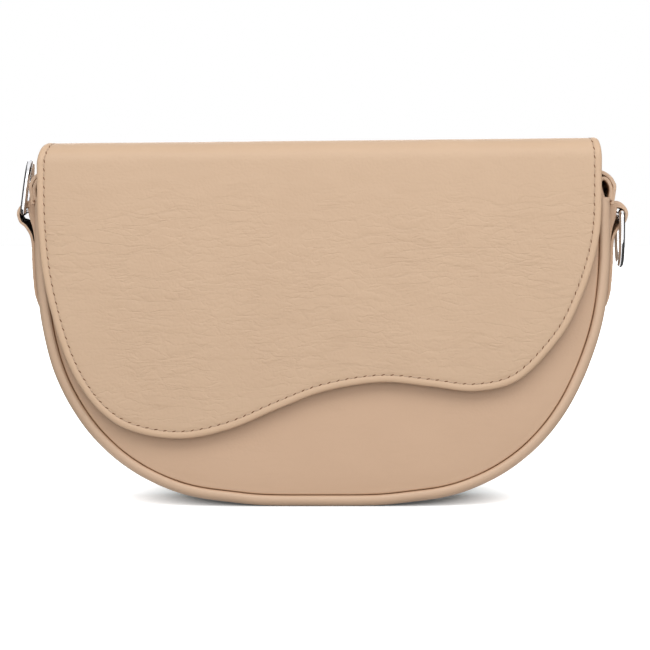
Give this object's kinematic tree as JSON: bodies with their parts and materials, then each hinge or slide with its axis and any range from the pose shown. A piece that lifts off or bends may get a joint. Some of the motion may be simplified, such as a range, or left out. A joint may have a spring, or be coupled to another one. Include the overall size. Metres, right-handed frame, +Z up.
{
  "type": "handbag",
  "caption": "Half-moon leather handbag: a wavy flap that folds open over a lined compartment, side rings that swing for a strap, and a zip pocket inside.",
  "frame": {"origin": "middle of the flat stretch of the base that the bag stands on", "axes": "+Z up; the flap's front faces -Y; +X to the right as the front is seen"},
  "size_m": [0.2682, 0.0668, 0.158],
  "materials": {
    "flap_leather": "pebbled, creased, satin",
    "body_leather": "fine pebbled, satin",
    "trim_leather": "smooth, satin",
    "lining_fabric": "woven, matt",
    "stiffener_board": "matt",
    "polished_steel": "polished",
    "zip_metal": "satin"
  },
  "bodies": {
    "bag": {"gusset": "trim_leather", "front_panel": "body_leather", "back_panel": "body_leather", "left_gusset_hem": "trim_leather", "right_gusset_hem": "trim_leather", "left_ring_tab": "trim_leather", "right_ring_tab": "trim_leather", "front_facing": "body_leather", "back_facing": "body_leather", "front_board": "stiffener_board", "back_board": "stiffener_board", "base_board": "stiffener_board", "front_lining": "lining_fabric", "back_lining": "lining_fabric", "gusset_lining": "lining_fabric", "flap_lap": "flap_leather", "snap_socket": "polished_steel", "snap_socket_washer": "polished_steel", "pocket_bag": "lining_fabric", "zip_tape": "lining_fabric", "zip_chain": "zip_metal", "zip_stop_left": "zip_metal", "zip_stop_right": "zip_metal"},
    "flap_over": {"flap_top": "flap_leather", "flap_top_lining": "lining_fabric"},
    "flap_face": {"flap_front": "flap_leather", "flap_board": "stiffener_board", "flap_lining": "lining_fabric", "snap_stud": "polished_steel", "snap_stud_washer": "polished_steel"},
    "left_ring": {"left_d_ring": "polished_steel"},
    "right_ring": {"right_d_ring": "polished_steel"},
    "slider": {"zip_slider": "zip_metal"},
    "puller": {"zip_puller": "zip_metal"}
  },
  "joints": [
    {"name": "flap_opening", "type": "hinge", "parent": "bag", "child": "flap_over", "pos_m": [0, 0.02525, 0.153], "axis": [-1, 0, 0], "range_deg": [0, 175]},
    {"name": "flap_lifting", "type": "hinge", "parent": "flap_over", "child": "flap_face", "pos_m": [0, -0.03038, 0.15], "axis": [-1, 0, 0], "range_deg": [0, 95]},
    {"name": "left_ring_swing", "type": "hinge", "parent": "bag", "child": "left_ring", "pos_m": [-0.1308, 0, 0.1267], "axis": [0, -1, 0], "range_deg": [0, 186]},
    {"name": "right_ring_swing", "type": "hinge", "parent": "bag", "child": "right_ring", "pos_m": [0.1308, 0, 0.1267], "axis": [0, -1, 0], "range_deg": [0, 186]},
    {"name": "zip_travel", "type": "slide", "parent": "bag", "child": "slider", "axis": [1, 0, 0], "range_m": [0, 0.0895]},
    {"name": "puller_turn", "type": "hinge", "parent": "slider", "child": "puller", "pos_m": [-0.0448, 0.01709, 0.11301], "axis": [0, 0.0454, -0.999], "range_deg": [0, 175]}
  ]
}
